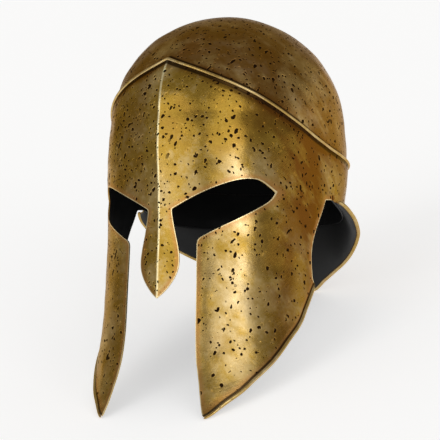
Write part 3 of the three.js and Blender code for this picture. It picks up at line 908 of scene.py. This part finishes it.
class HELMET_OT_neck_guard(bpy.types.Operator):
    """Flared sheet lapped over the back band, ending where its rolled rim goes"""

    bl_idname = "helmet.neck_guard"
    bl_label = "Neck guard"

    def execute(self, context):
        sheet = context.scene.helmet_shape.in_millimetres()[0]
        turn = np.linspace(GUARD_START, 2 * np.pi - GUARD_START, 260)
        top, hold, bend, edge, away = [line[:, None] for line in guard_lines(turn)]
        # A straight lap for the first fifth, then a quadratic curve that ends inside the rim
        end = edge - away * (1.22 * NECK_BEAD)
        share = np.linspace(0, 1, 44)[None, :, None]
        t = np.clip((share - 0.2) / 0.8, 0, 1)
        flare = hold * (1 - t) ** 2 + 2 * bend * t * (1 - t) + end * t * t
        lap = top + (hold - top) * np.clip(share / 0.2, 0, 1)
        outer = np.where(share < 0.2, lap, flare)
        normal = unit(np.cross(np.gradient(outer, axis=0), np.gradient(outer, axis=1)))
        radial = np.stack([np.sin(turn), -np.cos(turn), 0 * turn], -1)[:, None]
        normal *= np.where((normal * radial).sum(-1, keepdims=True).mean() < 0, -1, 1)
        inner = outer - normal * sheet
        across, along = outer.shape[:2]
        tris = triangles_of(grid_faces(across, along, False))
        points, faces, kinds = closed(outer.reshape(-1, 3), inner.reshape(-1, 3), tris)
        far = np.full(2 * across * along, FAR)
        # Painted shade, even over the whole guard
        layers = {"shade": 0.55 + 0 * far, "worn": 0 * far, "pits": 0.75 + 0 * far, "edge": far,
                  "below": far, "beside": far, "middle": far}
        looks = [metal(context, "face"), metal(context, "paint"), metal(context, "rim")]
        piece = place("neck_guard_sheet", points, faces, kinds, looks, layers)
        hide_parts("neck_guard")
        return {"FINISHED"}


class HELMET_OT_rims(bpy.types.Operator):
    """Rolled rims of the neck guard and the cheeks, and the bead along the brow"""

    bl_idname = "helmet.rims"
    bl_label = "Rims"

    def execute(self, context):
        # Cheeks: just inside the edge, as far as the face opening
        on, normal, inward = cheek_lines()
        kept = inside_distance(on[:, [0, 2]], face_outline()) > 0.4
        on, normal, inward = on[kept], normal[kept], inward[kept]
        centres = on + inward * CHEEK_BEAD - normal * 0.26
        for name, node, flip in (
            ("cheek_rim_left", "cheek_bead_left", [1.0, 1.0, 1.0]),
            ("cheek_rim_right", "cheek_bead_right", [-1.0, 1.0, 1.0]),
        ):
            self.wire(context, name, node, centres * flip, normal * flip, CHEEK_WIRE, CHEEK_TAPER)
        # Neck: its own radius back from the guard's edge
        turn = np.linspace(GUARD_START, 2 * np.pi - GUARD_START, 300)
        *_, edge, away = guard_lines(turn)
        self.wire(context, "neck_rim", "neck_bead", edge - away * NECK_WIRE, away, NECK_WIRE)
        # Brow: on the top edge, lifted by more where the edge is steep
        turn = np.linspace(-np.pi + 0.003, np.pi - 0.003, 560)
        height = rim_height(turn)
        slope = (rim_height(turn + 0.02) - rim_height(turn - 0.02)) / (0.04 * FRONT_REACH)
        lift = (BROW_BEAD + GAP) * np.hypot(1, slope) - 0.5
        normal = normal_of(turn, height)
        centres = form(turn, height + lift) + normal * 0.1
        self.wire(context, "brow_rim", "brow_bead", centres, normal, BROW_WIRE)
        return {"FINISHED"}

    def wire(self, context, name, node, centres, normals, radius, taper=0.0):
        """One wire as a piece, with what would sink into the floor pushed up to it."""
        points, tris = sweep(centres, normals, radius, taper)
        low = resting(points)[:, 2] < 0
        shift = -resting(points)[low][:, 2] * 1000
        points[low] += shift[:, None] * np.array([0, -math.sin(LEAN), math.cos(LEAN)])
        layers = {"pits": np.full(len(points), 0.35)}
        piece = place(name, points, tris, np.zeros(len(tris)), [metal(context, "rim")], layers)
        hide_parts(node)


class HELMET_OT_stage(bpy.types.Operator):
    """Pale floor, soft studio lights and the camera"""

    bl_idname = "helmet.stage"
    bl_label = "Stage"

    def execute(self, context):
        scene = context.scene
        scene.view_settings.view_transform = "Standard"
        self.floor(scene)
        self.lights(scene)
        self.camera(scene)
        return {"FINISHED"}

    def floor(self, scene):
        """A wide flat square that glows a little, so that it stays pale."""
        mesh = bpy.data.meshes.new("floor")
        corners = [(-30, -30, 0), (30, -30, 0), (30, 30, 0), (-30, 30, 0)]
        mesh.from_pydata(corners, [], [(0, 1, 2, 3)])
        floor = bpy.data.objects.new("floor", mesh)
        scene.collection.objects.link(floor)
        look = Look("pale_floor")
        mesh.materials.append(look.give(
            Base_Color=(0.86, 0.86, 0.86, 1), Roughness=0.9,
            Emission_Color=(1, 1, 1, 1), Emission_Strength=0.5))

    def lights(self, scene):
        """Even pale surroundings and the lamps. A lamp's energy is its brightness times pi
        times the square of the sine of half its breadth."""
        world = bpy.data.worlds.new("studio")
        scene.world = world
        world.use_nodes = True
        inputs = world.node_tree.nodes["Background"].inputs
        inputs["Color"].default_value = (1.0, 0.99, 0.97, 1)
        inputs["Strength"].default_value = 0.36
        for name, aside, lift, breadth, bright in LAMPS:
            lamp = bpy.data.lights.new(name, "SUN")
            lamp.angle = math.radians(breadth)
            lamp.energy = bright * math.pi * math.sin(lamp.angle / 2) ** 2
            holder = bpy.data.objects.new(name, lamp)
            scene.collection.objects.link(holder)
            away = Vector(direction(aside, lift))
            holder.rotation_euler = away.to_track_quat("Z", "Y").to_euler()

    def camera(self, scene):
        """Long lens, 30 degrees round and 5 below the level of the helmet as worn."""
        back = direction(30, -5)
        right = np.array([math.cos(math.radians(30)), math.sin(math.radians(30)), 0])
        c, s = math.cos(LEAN), math.sin(LEAN)
        lean = np.array([[1, 0, 0], [0, c, s], [0, -s, c]])
        back, right, up = [Vector(lean @ way) for way in (back, right, np.cross(back, right))]
        centre = Vector(resting(np.array([0.0, 0.0, 176.0])))
        data = bpy.data.cameras.new("camera")
        camera = bpy.data.objects.new("camera", data)
        scene.collection.objects.link(camera)
        data.sensor_width = 36
        data.lens = data.sensor_width * CAMERA_AWAY * PIXELS_A_METRE / PIXELS_ACROSS
        data.clip_start, data.clip_end = 0.05, 100
        turn = Matrix((right, up, back)).transposed()
        spot = centre + back * CAMERA_AWAY + right * CAMERA_ASIDE + up * CAMERA_UP
        camera.matrix_world = Matrix.Translation(spot) @ turn.to_4x4()
        scene.camera = camera


class HELMET_PT_panel(bpy.types.Panel):
    """Lists the helmet's pieces in the sidebar"""

    bl_label = "Helmet"
    bl_idname = "HELMET_PT_panel"
    bl_space_type = "VIEW_3D"
    bl_region_type = "UI"
    bl_category = "Helmet"

    def draw(self, context):
        """A button for each piece, then the sizes and the colours."""
        for step in STEPS:
            self.layout.operator(step.bl_idname)
        for group in (context.scene.helmet_shape, context.scene.helmet_metal):
            for key in group.__annotations__:
                self.layout.prop(group, key)


STEPS = (
    HELMET_OT_stage, HELMET_OT_face_shell, HELMET_OT_crown, HELMET_OT_neck_guard, HELMET_OT_rims,
)
CLASSES = (HelmetMetal, HelmetShape, *STEPS, HELMET_PT_panel)


def register():
    """Makes the classes and the settings known to Blender."""
    for item in CLASSES:
        bpy.utils.register_class(item)
    bpy.types.Scene.helmet_metal = PointerProperty(type=HelmetMetal)
    bpy.types.Scene.helmet_shape = PointerProperty(type=HelmetShape)


def unregister():
    """Takes them away again, last first."""
    del bpy.types.Scene.helmet_shape
    del bpy.types.Scene.helmet_metal
    for item in reversed(CLASSES):
        bpy.utils.unregister_class(item)


def main():
    """Makes every piece."""
    register()
    bpy.ops.helmet.stage()
    bpy.ops.helmet.face_shell()
    bpy.ops.helmet.crown()
    bpy.ops.helmet.neck_guard()
    bpy.ops.helmet.rims()


if __name__ == "__main__":
    main()
